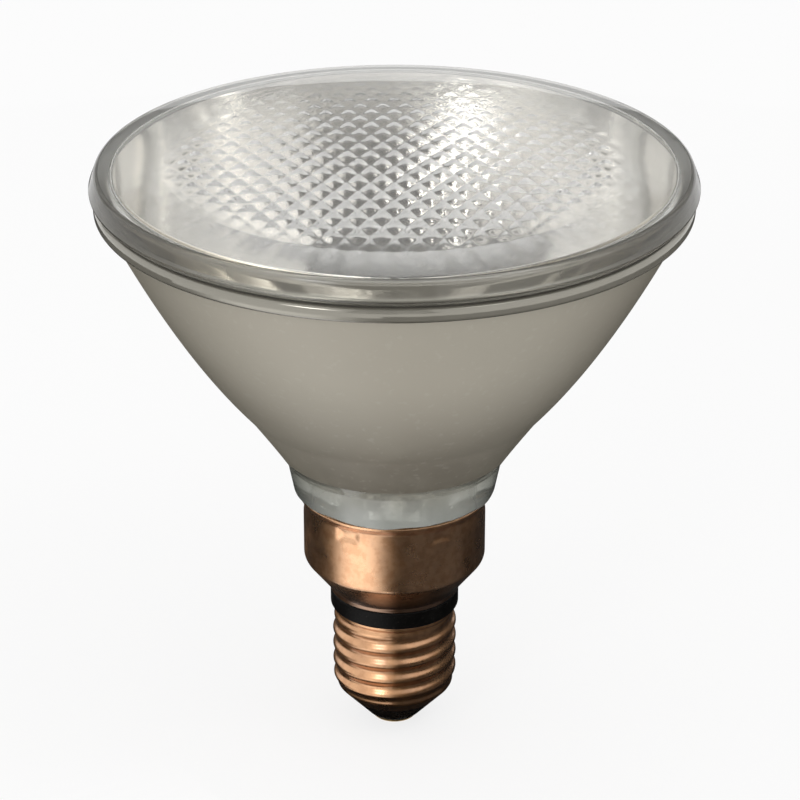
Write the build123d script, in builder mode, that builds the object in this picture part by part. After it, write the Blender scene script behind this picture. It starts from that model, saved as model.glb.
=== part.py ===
import os
from math import atan2, cos, degrees, hypot, radians, sin, sqrt

from build123d import *

os.makedirs("parts", exist_ok=True)

# Reflector lamp with a stippled front glass and a skirted screw base.
# The origin is the tip of the centre contact and +Z runs up the lamp's axis, so the lens is at the top.
# All sizes are in millimetres.

# Centre contact, its eyelet and the glass insulator
contact_inset = 0.8
contact_t = 1.2
contact_edge = 0.5
eyelet_r = 2.1
eyelet_wall = 0.8
eyelet_h = 6.6
insulator_taper_w = 4.0
insulator_cone_h = 4.4
insulator_plug_h = 3.4

# Screw shell with its rolled thread
thread_r = 13.1
thread_depth = 0.85
thread_pitch = 25.4 / 7
thread_crest = 1.0
thread_foot = 2.7
thread_h = 17.7
thread_fade = 1.6
shell_wall = 0.45
shell_taper_h = 2.9
shell_taper_w = 2.65
shell_bead_h = 1.4
shell_bead_step = 0.15
shell_tail_step = 0.95
shell_flange_w = 1.0

# Insulating ring and skirt
ring_step = 0.4
ring_h = 3.9
skirt_wall = 0.5
skirt_neck_step = 0.2
skirt_neck_h = 1.1
skirt_cone_h = 6.8
skirt_r = 19.0
skirt_side_h = 13.2
skirt_corner = 1.6
skirt_flare = 1.1
skirt_lip_h = 2.0
crimp_count = 6
crimp_w = 5.0
crimp_h = 2.8
crimp_reach = 0.7
crimp_angle = -60

# Reflector glass: heel inside the skirt, ring above it, bowl and flange
heel_depth = 10.1
heel_floor_t = 5.0
heel_groove = 0.85
heel_ring_step = 0.5
heel_ring_draft = 1.7
heel_ring_h = 7.4
well_r = 10.5
bowl_blend_w = 8.86
bowl_blend_h = 13.0
bowl_wall = 1.5
mirror_focal = 13.2
focal_step = 0.7
flange_step = 0.8
flange_w = 2.4
flange_h = 3.8
flange_slope_h = 0.9

# Seal and lens
seal_t = 0.4
seal_inset = 0.5
lens_r = 60.7
lens_edge_step = 1.3
lens_bead_h = 1.2
lens_rim_h = 5.0
lens_edge_bevel = 0.9
lens_window_h = 2.4
lens_sag = 5.4
stipple_margin = 10.0
stipple_w = 4.6
stipple_l = 8.0
stipple_depth = 0.95
stipple_sink = 0.15

# Halogen capsule: quartz bulb, pressed seal, foils, pins and filament
capsule_r = 5.6
capsule_wall = 1.0
capsule_bulb_h = 21.0
capsule_tip_r = 1.1
capsule_tip_h = 1.0
press_side = 2.4
press_t = 3.6
press_stand = 2.3
filament_r = 1.0
filament_h = 12.0
filament_drop = 4.0
filament_wire_r = 0.25
filament_loop_h = 2.4
foil_w = 2.8
foil_t = 0.2
foil_margin = 2.75
pin_r = 0.6
pin_spread = 3.6
pin_tail = 0.7
ferrule_r = 1.9
ferrule_flange_r = 2.8
ferrule_flange_t = 0.6
ferrule_stand = 0.8

# Wires in the base
wire_r = 0.3
wire_drop = 5.0
solder_r = 1.6
solder_t = 0.8

# Clearances
heel_clear = 0.15
fit_clear = 0.05

# Radii of the base, which follow from the thread and the skirt
thread_root_r = thread_r - thread_depth
shell_inner_r = thread_root_r - shell_wall
shell_lip_r = thread_root_r - shell_taper_w
shell_bead_r = thread_r - shell_bead_step
shell_tail_r = shell_bead_r - shell_tail_step
tail_inner_r = shell_tail_r - shell_wall
insulator_tip_r = shell_lip_r - insulator_taper_w
contact_r = insulator_tip_r - contact_inset
eyelet_bore_r = eyelet_r - eyelet_wall
ring_r = thread_r + ring_step
skirt_neck_r = ring_r + skirt_neck_step
skirt_lip_r = skirt_r + skirt_flare
heel_r = skirt_r - skirt_wall - heel_clear
heel_ring_r = skirt_lip_r + heel_ring_step
heel_ring_top_r = heel_ring_r + heel_ring_draft
blend_r = heel_ring_top_r + bowl_blend_w

# Radii of the rim, which follow from the lens
lens_edge_r = lens_r - lens_edge_step
flange_r = lens_r - flange_step
bowl_r = flange_r - flange_w
mirror_r = bowl_r - bowl_wall
stipple_r = mirror_r - stipple_margin
press_w = 2 * (pin_spread + press_side)

# The bowl is a parabola a little flatter than the mirror, so its glass thickens towards the heel
bowl_focal = mirror_focal + focal_step
bowl_h = bowl_blend_h + (bowl_r**2 - blend_r**2) / (4 * bowl_focal)

# Heights along the axis, from the contact tip to the top of the lens
shell_z = contact_t + insulator_cone_h
thread_z = shell_z + shell_taper_h
bead_z = thread_z + thread_h
ring_z = bead_z + shell_bead_h
skirt_z = ring_z + ring_h
cone_z = skirt_z + skirt_neck_h
side_z = cone_z + skirt_cone_h
lip_z = side_z + skirt_side_h
heel_z = lip_z + skirt_lip_h
bowl_z = heel_z + heel_ring_h
flange_z = bowl_z + bowl_h
seal_z = flange_z + flange_h
seat_z = seal_z + seal_t
window_z = seat_z + lens_window_h
edge_z = seat_z + lens_rim_h
lens_z = edge_z + lens_sag
heel_bottom_z = heel_z - heel_depth
well_z = heel_bottom_z + heel_floor_t
mirror_vertex_z = seal_z - mirror_r**2 / (4 * mirror_focal)
bowl_vertex_z = flange_z - bowl_r**2 / (4 * bowl_focal)
filament_z = mirror_vertex_z + mirror_focal - filament_h / 2
bulb_z = filament_z - filament_drop
press_z = well_z + ferrule_stand + press_stand
press_h = bulb_z - press_z
foil_z = press_z + foil_margin
foil_h = press_h - 2 * foil_margin


# Control points of the curve z = vertex_z + r^2 / (4 focal) between two radii
def parabola(focal, vertex_z, start_r, end_r):
    start = (start_r, vertex_z + start_r**2 / (4 * focal))
    middle = ((start_r + end_r) / 2, vertex_z + start_r * end_r / (4 * focal))
    end = (end_r, vertex_z + end_r**2 / (4 * focal))
    return start, middle, end


# Centre contact: a brass button with a hollow shank
with BuildPart() as centre_contact:
    with BuildSketch(Plane.XZ):
        with BuildLine():
            Polyline(
                (eyelet_bore_r, 0),
                (contact_r - contact_edge, 0),
                (contact_r, contact_edge),
                (contact_r, contact_t),
                (eyelet_r, contact_t),
                (eyelet_r, contact_t + eyelet_h),
                (eyelet_bore_r, contact_t + eyelet_h),
                close=True,
            )
        make_face()
    revolve(axis=Axis.Z)

# Solder that fills the mouth of the eyelet
with BuildPart() as contact_solder:
    with BuildSketch():
        Circle(eyelet_bore_r)
    extrude(amount=contact_t)

# Black glass insulator: a cone outside, a plug inside the shell's turned-in end
with BuildPart() as base_insulator:
    with BuildSketch(Plane.XZ):
        with BuildLine():
            Polyline(
                (eyelet_r, contact_t),
                (insulator_tip_r, contact_t),
                (shell_lip_r, shell_z),
                (shell_lip_r - shell_wall, shell_z),
                (shell_inner_r, thread_z),
                (shell_inner_r, thread_z + insulator_plug_h),
                (eyelet_r, thread_z + insulator_plug_h),
                close=True,
            )
        make_face()
    revolve(axis=Axis.Z)

# Thread ridge: a trapezoid swept along the helix and faded out at both ends
with BuildPart() as thread_ridge:
    with BuildLine() as thread_path:
        Helix(thread_pitch, thread_h, thread_root_r, center=(0, 0, thread_z))
    with BuildSketch(Plane(thread_path.line @ 0, x_dir=(1, 0, 0), z_dir=thread_path.line % 0)):
        with BuildLine():
            Polyline(
                (-shell_wall / 2, -thread_foot / 2),
                (0, -thread_foot / 2),
                (thread_depth, -thread_crest / 2),
                (thread_depth, thread_crest / 2),
                (0, thread_foot / 2),
                (-shell_wall / 2, thread_foot / 2),
                close=True,
            )
        make_face()
    sweep(path=thread_path.line, is_frenet=True)
    with BuildSketch(Plane.XZ):
        with BuildLine():
            Polyline(
                (0, thread_z),
                (thread_root_r, thread_z),
                (thread_r + thread_depth, thread_z + 2 * thread_fade),
                (thread_r + thread_depth, bead_z - 2 * thread_fade),
                (thread_root_r, bead_z),
                (0, bead_z),
                close=True,
            )
        make_face()
    revolve(axis=Axis.Z, mode=Mode.INTERSECT)

# Screw shell: turned-in end, threaded barrel, bead, and a tail flanged over the skirt
with BuildPart() as screw_shell:
    with BuildSketch(Plane.XZ):
        with BuildLine():
            flange_top_z = skirt_z + skirt_wall + shell_wall
            Polyline(
                (shell_lip_r - shell_wall, shell_z),
                (shell_lip_r, shell_z),
                (thread_root_r, thread_z),
                (thread_root_r, bead_z),
                (shell_bead_r, bead_z + (ring_z - bead_z) / 2),
                (shell_bead_r, ring_z),
                (shell_tail_r, ring_z),
                (shell_tail_r, skirt_z + skirt_wall),
                (shell_tail_r + shell_flange_w, skirt_z + skirt_wall),
                (shell_tail_r + shell_flange_w, flange_top_z),
                (tail_inner_r, flange_top_z),
                (tail_inner_r, bead_z),
                (shell_inner_r, bead_z - shell_wall),
                (shell_inner_r, thread_z),
                close=True,
            )
        make_face()
    revolve(axis=Axis.Z)
    add(thread_ridge.part)

# Insulating ring between the shell's bead and the skirt
with BuildPart() as insulating_ring:
    with BuildSketch(Plane.XY.offset(ring_z)):
        Circle(ring_r)
        Circle(shell_tail_r + fit_clear, mode=Mode.SUBTRACT)
    extrude(amount=ring_h)

# Skirt: one pressed cup with a flared lip, crimped into the heel's groove
cone_run = hypot(skirt_r - skirt_neck_r, skirt_cone_h)
cone_shift = skirt_wall * (cone_run - skirt_cone_h) / (skirt_r - skirt_neck_r)
crimp_z = lip_z - crimp_h
crimp_floor_r = skirt_r - skirt_wall - crimp_reach
with BuildPart() as skirt:
    with BuildSketch(Plane.XZ):
        with BuildLine():
            Polyline(
                (shell_tail_r + fit_clear, skirt_z),
                (skirt_neck_r, skirt_z),
                (skirt_neck_r, cone_z),
                (skirt_r, side_z),
                (skirt_r, lip_z),
                (skirt_lip_r, heel_z - skirt_wall),
                (skirt_lip_r, heel_z),
                (skirt_r, heel_z),
                (skirt_r - skirt_wall, lip_z + skirt_wall),
                (skirt_r - skirt_wall, side_z + cone_shift),
                (skirt_neck_r - skirt_wall, cone_z + cone_shift),
                (skirt_neck_r - skirt_wall, skirt_z + skirt_wall),
                (shell_tail_r + fit_clear, skirt_z + skirt_wall),
                close=True,
            )
        make_face()
    revolve(axis=Axis.Z)
    corner = skirt.edges().filter_by_position(Axis.Z, side_z - fit_clear, side_z + fit_clear)
    fillet(corner, skirt_corner)
    with BuildSketch(Plane.XY.offset(crimp_z)):
        with PolarLocations(crimp_floor_r, crimp_count, start_angle=crimp_angle):
            Rectangle(crimp_reach + skirt_wall / 2, crimp_w, align=(Align.MIN, Align.CENTER))
    extrude(amount=crimp_h)
    with BuildSketch(Plane.XY.offset(crimp_z + skirt_wall)):
        with PolarLocations(crimp_floor_r + skirt_wall, crimp_count, start_angle=crimp_angle):
            Rectangle(skirt_r, crimp_w - 2 * skirt_wall, align=(Align.MIN, Align.CENTER))
    extrude(amount=crimp_h - 2 * skirt_wall, mode=Mode.SUBTRACT)

# Reflector: pressed glass, from the heel in the skirt to the flange under the lens
mirror = parabola(mirror_focal, mirror_vertex_z, well_r, mirror_r)
outside = parabola(bowl_focal, bowl_vertex_z, blend_r, bowl_r)
with BuildPart() as reflector:
    with BuildSketch(Plane.XZ):
        with BuildLine():
            Bezier(*mirror)
            Polyline(
                (mirror_r, seal_z),
                (flange_r, seal_z),
                (flange_r, flange_z + flange_slope_h),
                (bowl_r, flange_z),
            )
            Bezier(*outside)
            Polyline(
                outside[0],
                (heel_ring_top_r, bowl_z),
                (heel_ring_r, heel_z),
                (heel_r, heel_z),
                (heel_r, lip_z + heel_groove),
                (heel_r - heel_groove, lip_z),
                (heel_r - heel_groove, crimp_z),
                (heel_r, crimp_z - heel_groove),
                (heel_r, heel_bottom_z),
                (0, heel_bottom_z),
                (0, well_z),
                (well_r, well_z),
                mirror[0],
            )
        make_face()
    revolve(axis=Axis.Z)
    with BuildSketch(Plane.XY.offset(heel_bottom_z)):
        with Locations((-pin_spread, 0), (pin_spread, 0)):
            Circle(ferrule_r)
    extrude(amount=heel_floor_t, mode=Mode.SUBTRACT)

# Seal between the reflector's flange and the lens
with BuildPart() as rim_seal:
    with BuildSketch(Plane.XY.offset(seal_z)):
        Circle(flange_r - seal_inset)
        Circle(mirror_r + seal_inset, mode=Mode.SUBTRACT)
    extrude(amount=seal_t)

# Stipple: two crossing combs of V grooves leave rhombic pits in the lens's inner face
comb_angle = degrees(atan2(stipple_w, stipple_l))
comb_pitch = stipple_w * stipple_l / hypot(stipple_w, stipple_l)
comb_teeth = 2 * int(stipple_r / comb_pitch + 1)
comb_half = comb_teeth * comb_pitch / 2
with BuildPart() as stipple:
    with BuildSketch(Plane.XY.offset(window_z - lens_window_h)):
        Circle(stipple_r)
    extrude(amount=lens_rim_h)
    for angle in (comb_angle, -comb_angle):
        across = (cos(radians(angle)), sin(radians(angle)), 0)
        along = (sin(radians(angle)), -cos(radians(angle)), 0)
        groove_line = []
        for tooth in range(comb_teeth):
            left = tooth * comb_pitch - comb_half
            groove_line += [(left, stipple_sink), (left + comb_pitch / 2, stipple_sink + stipple_depth)]
        with BuildSketch(Plane((0, 0, window_z), x_dir=across, z_dir=along)):
            with BuildLine():
                Polyline(
                    (-comb_half, -lens_rim_h),
                    *groove_line,
                    (comb_half, stipple_sink),
                    (comb_half, -lens_rim_h),
                    close=True,
                )
            make_face()
        extrude(amount=comb_half, both=True, mode=Mode.INTERSECT)

# Lens: domed outside, flat inside with the stippled field, and a rim that seats on the seal
with BuildPart() as lens:
    with BuildSketch(Plane.XZ):
        with BuildLine():
            TangentArc((0, lens_z), (lens_edge_r, edge_z), tangent=(1, 0))
            Polyline(
                (lens_edge_r, edge_z),
                (lens_r, seat_z + lens_bead_h),
                (flange_r, seat_z),
                (mirror_r, seat_z),
                (mirror_r, window_z),
                (0, window_z),
                (0, lens_z),
            )
        make_face()
    revolve(axis=Axis.Z)
    rim_edge = lens.edges().filter_by_position(Axis.Z, edge_z - fit_clear, edge_z + fit_clear)
    chamfer(rim_edge, lens_edge_bevel)
    add(stipple.part, mode=Mode.SUBTRACT)

# Filament: an axial coil, a leg to each foil, the upper one looped back down
leg_foot_z = foil_z + foil_h
coil_top_z = filament_z + filament_h
with BuildPart() as filament:
    with BuildSketch(Plane.XY.offset(filament_z)):
        Circle(filament_r)
    extrude(amount=filament_h)
    legs = (
        ((0, filament_z), (0, bulb_z + filament_loop_h), (-pin_spread, bulb_z + filament_loop_h)),
        ((0, coil_top_z), (0, coil_top_z + filament_loop_h), (pin_spread, coil_top_z + filament_loop_h)),
    )
    for start, turn, over in legs:
        with BuildLine(Plane.XZ) as leg_path:
            Polyline(start, turn, over, (over[0], leg_foot_z))
        with BuildSketch(Plane(leg_path.line @ 0, z_dir=leg_path.line % 0)):
            Circle(filament_wire_r)
        sweep(path=leg_path.line, transition=Transition.RIGHT)

# Capsule: quartz tube with a round top and its closed tip, pressed flat round the foils
bulb_top_z = bulb_z + capsule_bulb_h
tip_z = bulb_top_z + sqrt(capsule_r**2 - capsule_tip_r**2)
capsule_top_z = tip_z + capsule_tip_h + capsule_tip_r
cavity_r = capsule_r - capsule_wall
cavity_z = bulb_z + capsule_wall
with BuildPart() as capsule:
    with BuildSketch(Plane.XZ):
        with BuildLine():
            Polyline((0, bulb_z), (capsule_r, bulb_z), (capsule_r, bulb_top_z))
            RadiusArc((capsule_r, bulb_top_z), (capsule_tip_r, tip_z), -capsule_r)
            Line((capsule_tip_r, tip_z), (capsule_tip_r, tip_z + capsule_tip_h))
            RadiusArc((capsule_tip_r, tip_z + capsule_tip_h), (0, capsule_top_z), -capsule_tip_r)
            Line((0, capsule_top_z), (0, bulb_z))
        make_face()
    revolve(axis=Axis.Z)
    with BuildSketch(Plane.XZ):
        with BuildLine():
            Polyline(
                (0, cavity_z),
                (cavity_r, cavity_z),
                (cavity_r, bulb_top_z),
                (capsule_tip_r, tip_z - capsule_wall),
                (0, tip_z - capsule_wall),
                close=True,
            )
        make_face()
    revolve(axis=Axis.Z, mode=Mode.SUBTRACT)
    with BuildSketch(Plane.XY.offset(press_z)):
        RectangleRounded(press_w, press_t, press_t / 3)
    extrude(amount=press_h + capsule_wall)
    for x in (-pin_spread, pin_spread):
        with Locations((x, 0, foil_z)):
            Box(foil_w, foil_t, foil_h, align=(Align.CENTER, Align.CENTER, Align.MIN), mode=Mode.SUBTRACT)
        with BuildSketch(Plane((x, 0, press_z))):
            Circle(pin_r)
        extrude(amount=foil_z - press_z, mode=Mode.SUBTRACT)
        with BuildSketch(Plane((x, 0, leg_foot_z))):
            Circle(filament_wire_r)
        extrude(amount=cavity_z - leg_foot_z, mode=Mode.SUBTRACT)

# Foils, pins and ferrules, one of each on either side of the axis
for side, x in (("a", -pin_spread), ("b", pin_spread)):
    with BuildPart() as foil:
        with Locations((x, 0, foil_z)):
            Box(foil_w, foil_t, foil_h, align=(Align.CENTER, Align.CENTER, Align.MIN))
    with BuildPart() as lead_pin:
        with BuildSketch(Plane((x, 0, heel_bottom_z - ferrule_flange_t - pin_tail))):
            Circle(pin_r)
        extrude(amount=foil_z - heel_bottom_z + ferrule_flange_t + pin_tail)
    with BuildPart() as ferrule:
        with BuildSketch(Plane((x, 0, heel_bottom_z - ferrule_flange_t))):
            Circle(ferrule_flange_r)
        extrude(amount=ferrule_flange_t)
        with BuildSketch(Plane((x, 0, heel_bottom_z))):
            Circle(ferrule_r)
        extrude(amount=heel_floor_t + ferrule_stand)
        add(lead_pin.part, mode=Mode.SUBTRACT)
    for name, piece in (("foil", foil), ("lead_pin", lead_pin), ("ferrule", ferrule)):
        piece.part.label = f"{name}_{side}"
        export_step(piece.part, f"parts/{name}_{side}.step")

# Wires from the pins to the centre contact and to the shell's tail
pin_foot_z = heel_bottom_z - ferrule_flange_t - pin_tail
solder_z = (ring_z + skirt_z) / 2
wire_runs = {
    "centre_wire": (
        (-pin_spread, pin_foot_z),
        (-pin_spread, pin_foot_z - wire_drop),
        (0, bead_z),
        (0, contact_t),
    ),
    "shell_wire": (
        (pin_spread, pin_foot_z),
        (pin_spread, pin_foot_z - wire_drop),
        (tail_inner_r - solder_t, solder_z),
    ),
}
wires = {}
for name, run in wire_runs.items():
    with BuildPart() as wire:
        with BuildLine(Plane.XZ) as wire_path:
            Polyline(*run)
        with BuildSketch(Plane(wire_path.line @ 0, z_dir=wire_path.line % 0)):
            Circle(wire_r)
        sweep(path=wire_path.line, transition=Transition.RIGHT)
    wires[name] = wire

# Solder that holds the shell wire on the inside of the tail
with BuildPart() as shell_solder:
    with BuildSketch(Plane((0, 0, solder_z), z_dir=(1, 0, 0))):
        Circle(solder_r)
    extrude(amount=shell_tail_r)
    with BuildSketch(Plane.XY.offset(ring_z)):
        Circle(tail_inner_r)
        with Locations((-solder_t, 0)):
            Circle(tail_inner_r, mode=Mode.SUBTRACT)
    extrude(amount=ring_h, mode=Mode.INTERSECT)
    add(wires["shell_wire"].part, mode=Mode.SUBTRACT)

pieces = {
    "centre_contact": centre_contact,
    "contact_solder": contact_solder,
    "base_insulator": base_insulator,
    "screw_shell": screw_shell,
    "insulating_ring": insulating_ring,
    "skirt": skirt,
    "reflector": reflector,
    "rim_seal": rim_seal,
    "lens": lens,
    "capsule": capsule,
    "filament": filament,
    "shell_solder": shell_solder,
    **wires,
}
for name, piece in pieces.items():
    piece.part.label = name
    export_step(piece.part, f"parts/{name}.step")
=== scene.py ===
import math
import bmesh
import bpy
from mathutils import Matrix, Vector


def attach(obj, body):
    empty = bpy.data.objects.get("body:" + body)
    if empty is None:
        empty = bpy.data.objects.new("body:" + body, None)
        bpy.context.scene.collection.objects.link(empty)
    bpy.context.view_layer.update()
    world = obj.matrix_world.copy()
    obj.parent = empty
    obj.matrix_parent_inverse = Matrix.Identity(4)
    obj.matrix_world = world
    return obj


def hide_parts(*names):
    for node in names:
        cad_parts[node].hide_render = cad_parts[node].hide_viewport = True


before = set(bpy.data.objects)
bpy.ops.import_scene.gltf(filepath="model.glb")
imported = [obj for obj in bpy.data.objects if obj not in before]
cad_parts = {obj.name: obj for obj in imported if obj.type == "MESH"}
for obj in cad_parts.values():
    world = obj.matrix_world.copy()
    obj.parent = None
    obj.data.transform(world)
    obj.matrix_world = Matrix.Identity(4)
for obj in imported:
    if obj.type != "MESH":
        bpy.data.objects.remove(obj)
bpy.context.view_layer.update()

from types import SimpleNamespace as Sizes

scene = bpy.context.scene
scene.view_settings.view_transform = "Standard"
scene.cycles.max_bounces = 20  # light goes many times round the mirror bowl
scene.cycles.glossy_bounces = 12
scene.cycles.transmission_bounces = 16
mm = 0.001
onAxis = 1e-6  # mm, a profile point nearer to the axis becomes one vertex
weldGap = 2e-6  # m, nearer vertices are welded
softEdge = {"angle": 40, "sharp": 50, "segments": 2}
print("frame loaded,", len(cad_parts), "nodes")


# helpers for meshes

def roundCorners(corners, steps=5):
    line = []  # (radius, height) points in mm, each corner given with its own rounding
    for i, (r, z, rounding) in enumerate(corners):
        here = Vector((r, z))
        if rounding <= 0:
            line.append((r, z))
            continue
        toBefore = (Vector(corners[i - 1][:2]) - here).normalized()
        toAfter = (Vector(corners[(i + 1) % len(corners)][:2]) - here).normalized()
        half = toBefore.angle(toAfter) / 2
        centre = here + (toBefore + toAfter).normalized() * (rounding / math.sin(half))
        start = here + toBefore * (rounding / math.tan(half)) - centre
        end = here + toAfter * (rounding / math.tan(half)) - centre
        turn = start.angle(end)
        for k in range(steps + 1):
            t = k / steps
            way = (start * math.sin((1 - t) * turn) + end * math.sin(t * turn)) / math.sin(turn)
            line.append(tuple(centre + way))
    return line


def divideLine(line, step):
    fine = []  # no run of the profile longer than step, so that bent and threaded walls stay smooth
    for (r0, z0), (r1, z1) in zip(line, line[1:] + line[:1]):
        parts = max(1, math.ceil(math.hypot(r1 - r0, z1 - z0) / step))
        fine += [(r0 + (r1 - r0) * k / parts, z0 + (z1 - z0) * k / parts) for k in range(parts)]
    return fine


def parabolaLine(focal, vertex, startR, endR, steps):
    radii = [startR + (endR - startR) * k / steps for k in range(steps + 1)]
    return [(r, vertex + r * r / (4 * focal)) for r in radii]


def meshFrom(name, verts, faces, paint=None):
    mesh = bpy.data.meshes.new(name)
    mesh.from_pydata([Vector(v) * mm for v in verts], [], faces)
    if paint:
        mesh.polygons.foreach_set("material_index", paint)
    mesh.update()
    return mesh


def spinMesh(name, line, segments, closed=True, paintAt=None, turn=0.0):
    verts, rings, faces, paint = [], [], [], []
    for r, z in line:
        if r < onAxis:
            rings.append([len(verts)])
            verts.append((0, 0, z))
            continue
        rings.append(list(range(len(verts), len(verts) + segments)))
        for k in range(segments):
            a = turn + 2 * math.pi * k / segments
            verts.append((r * math.cos(a), r * math.sin(a), z))
    pairs = list(zip(range(len(line)), list(range(1, len(line))) + [0]))
    for i, j in pairs if closed else pairs[:-1]:
        low, high = rings[i], rings[j]
        middle = ((line[i][0] + line[j][0]) / 2, (line[i][1] + line[j][1]) / 2)
        index = paintAt(*middle) if paintAt else 0
        for k in range(segments):
            n = (k + 1) % segments
            if len(low) == 1 and len(high) == 1:
                break
            if len(low) == 1:
                faces.append((low[0], high[n], high[k]))
            elif len(high) == 1:
                faces.append((low[k], low[n], high[0]))
            else:
                faces.append((low[k], low[n], high[n], high[k]))
            paint.append(index)
    return meshFrom(name, verts, faces, paint)


def discMesh(name, radius, cells, heightAt):
    verts, faces = [], []  # square grid drawn out to a round disc, so that it has no pole
    for i in range(cells + 1):
        for j in range(cells + 1):
            a, b = 2 * i / cells - 1, 2 * j / cells - 1
            if abs(a) >= abs(b):
                r, angle = a, (math.pi / 4) * (b / a if a else 0)
            else:
                r, angle = b, math.pi / 2 - (math.pi / 4) * (a / b)
            x, y = radius * r * math.cos(angle), radius * r * math.sin(angle)
            verts.append((x, y, heightAt(math.hypot(x, y))))
    for i in range(cells):
        for j in range(cells):
            a = i * (cells + 1) + j
            faces.append((a, a + cells + 1, a + cells + 2, a + 1))
    return meshFrom(name, verts, faces)


def closeMesh(mesh, *others, sharpAngle=35):
    work = bmesh.new()
    for part in (mesh, *others):
        work.from_mesh(part)
    bmesh.ops.remove_doubles(work, verts=work.verts, dist=weldGap)
    bmesh.ops.recalc_face_normals(work, faces=work.faces)
    if work.calc_volume(signed=True) < 0:
        bmesh.ops.reverse_faces(work, faces=work.faces)
    work.to_mesh(mesh)
    work.free()
    mesh.shade_smooth()
    mesh.set_sharp_from_angle(angle=math.radians(sharpAngle))
    mesh.update()
    return mesh


def newPiece(name, mesh, *materials):
    piece = bpy.data.objects.new(name, mesh)
    scene.collection.objects.link(piece)
    for material in materials:
        mesh.materials.append(material)
    return piece


def evaluatedMesh(piece):
    graph = bpy.context.evaluated_depsgraph_get()
    return bpy.data.meshes.new_from_object(piece.evaluated_get(graph), depsgraph=graph)


def plainMesh(piece):
    mesh = evaluatedMesh(piece)  # modifiers become the piece's own mesh
    piece.modifiers.clear()
    piece.data = mesh
    return mesh


def settle(piece, slotName, *nodes):
    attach(piece, "root")
    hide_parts(*nodes)
    return piece


def spunPiece(name, line, segments, material, slotName, node):
    piece = newPiece(name, closeMesh(spinMesh(name, line, segments)), material)
    return settle(piece, slotName, node)


def copyOfNode(node, name, material, slotName, sharpAngle=32, bevel=0.0):
    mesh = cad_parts[node].data.copy()
    mesh.materials.clear()
    piece = newPiece(name, closeMesh(mesh, sharpAngle=sharpAngle), material)
    if bevel:
        cut = piece.modifiers.new("edge", "BEVEL")
        cut.width, cut.segments = bevel * mm, softEdge["segments"]
        cut.limit_method, cut.angle_limit = "ANGLE", math.radians(softEdge["angle"])
        plainMesh(piece).set_sharp_from_angle(angle=math.radians(softEdge["sharp"]))
    return settle(piece, slotName, node)


# helpers for node trees

def addNode(tree, kind, inputs=None, **settings):
    node = tree.nodes.new(kind)
    for key, value in settings.items():
        setattr(node, key, value)
    for key, value in (inputs or {}).items():
        if isinstance(value, bpy.types.NodeSocket):
            tree.links.new(value, node.inputs[key])
        else:
            node.inputs[key].default_value = value
    return node


def calc(tree, operation, *values, clamp=False):
    values = dict(enumerate(values))
    return addNode(tree, "ShaderNodeMath", values, operation=operation, use_clamp=clamp).outputs[0]


def wayAlong(tree, start, end, length, clamp=False):
    return calc(tree, "DIVIDE", calc(tree, "SUBTRACT", end, start), length, clamp=clamp)


def ramp(tree, value, low, high, toLow=0.0, toHigh=1.0):
    return addNode(tree, "ShaderNodeMapRange", {"Value": value, "From Min": low, "From Max": high,
                   "To Min": toLow, "To Max": toHigh}, interpolation_type="SMOOTHSTEP").outputs[0]


def blendColour(tree, mask, first, second):
    plugs = {0: mask, 6: first, 7: second}  # the mix node's factor and its two colours
    return addNode(tree, "ShaderNodeMix", plugs, data_type="RGBA").outputs[2]


def blendShare(tree, mask, share, first, second):
    return blendColour(tree, calc(tree, "MULTIPLY", mask, share), first, second)


def tone(r, g, b):
    parts = [v / 255 for v in (r, g, b)]  # a colour as seen, made linear
    return tuple(v / 12.92 if v <= 0.04045 else ((v + 0.055) / 1.055) ** 2.4 for v in parts) + (1.0,)


def newMaterial(name, sockets):
    material = bpy.data.materials.new(name)
    material.use_nodes = True
    shader = material.node_tree.nodes["Principled BSDF"]
    for label, value in sockets.items():
        shader.inputs[label].default_value = value
    return material, material.node_tree, shader


def feed(tree, shader, colour, rough):
    tree.links.new(colour, shader.inputs["Base Color"])
    tree.links.new(rough, shader.inputs["Roughness"])


def newGroup(name, inputs, outputs):
    group = bpy.data.node_groups.new(name, "ShaderNodeTree")
    for label, value in inputs.items():
        socket = group.interface.new_socket(name=label, in_out="INPUT", socket_type="NodeSocketFloat")
        socket.default_value = value
    for label in outputs:
        group.interface.new_socket(name=label, in_out="OUTPUT", socket_type="NodeSocketFloat")
    return group, group.nodes.new("NodeGroupInput").outputs, group.nodes.new("NodeGroupOutput")


def useGroup(tree, group, values):
    return addNode(tree, "ShaderNodeGroup", values, node_tree=group).outputs


def noiseAt(tree, vector, scale, detail, rough):
    return addNode(tree, "ShaderNodeTexNoise", {"Vector": vector, "Scale": scale, "Detail": detail,
                   "Roughness": rough}).outputs[0]


def objectPlace(tree):
    return addNode(tree, "ShaderNodeTexCoord").outputs["Object"]


def partsOf(tree, vector):
    return addNode(tree, "ShaderNodeSeparateXYZ", {0: vector}).outputs


def vectorOf(tree, parts):
    return addNode(tree, "ShaderNodeCombineXYZ", parts).outputs[0]


# shared effects
handledInputs = {"Scale": 60.0, "Low": 0.42, "High": 0.68}
handledGrain = {"finer": 22.0, "speck": (0.58, 0.74)}
drawnInputs = {"Around": 18.0, "Along": 1500.0, "Stain Scale": 90.0}
drawnGrain = {"finer": 6.0, "stain": (0.44, 0.70), "dull": (0.38, 0.66)}


def makeHandledGroup():
    group, given, out = newGroup("handledSurface", handledInputs, ("Smudge", "Speck"))
    place = objectPlace(group)
    cloud = noiseAt(group, place, given["Scale"], detail=5.0, rough=0.62)
    grain = calc(group, "MULTIPLY", given["Scale"], handledGrain["finer"])
    fine = noiseAt(group, place, grain, detail=2.0, rough=0.5)
    group.links.new(ramp(group, cloud, given["Low"], given["High"]), out.inputs["Smudge"])
    group.links.new(ramp(group, fine, *handledGrain["speck"]), out.inputs["Speck"])
    return group


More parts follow.
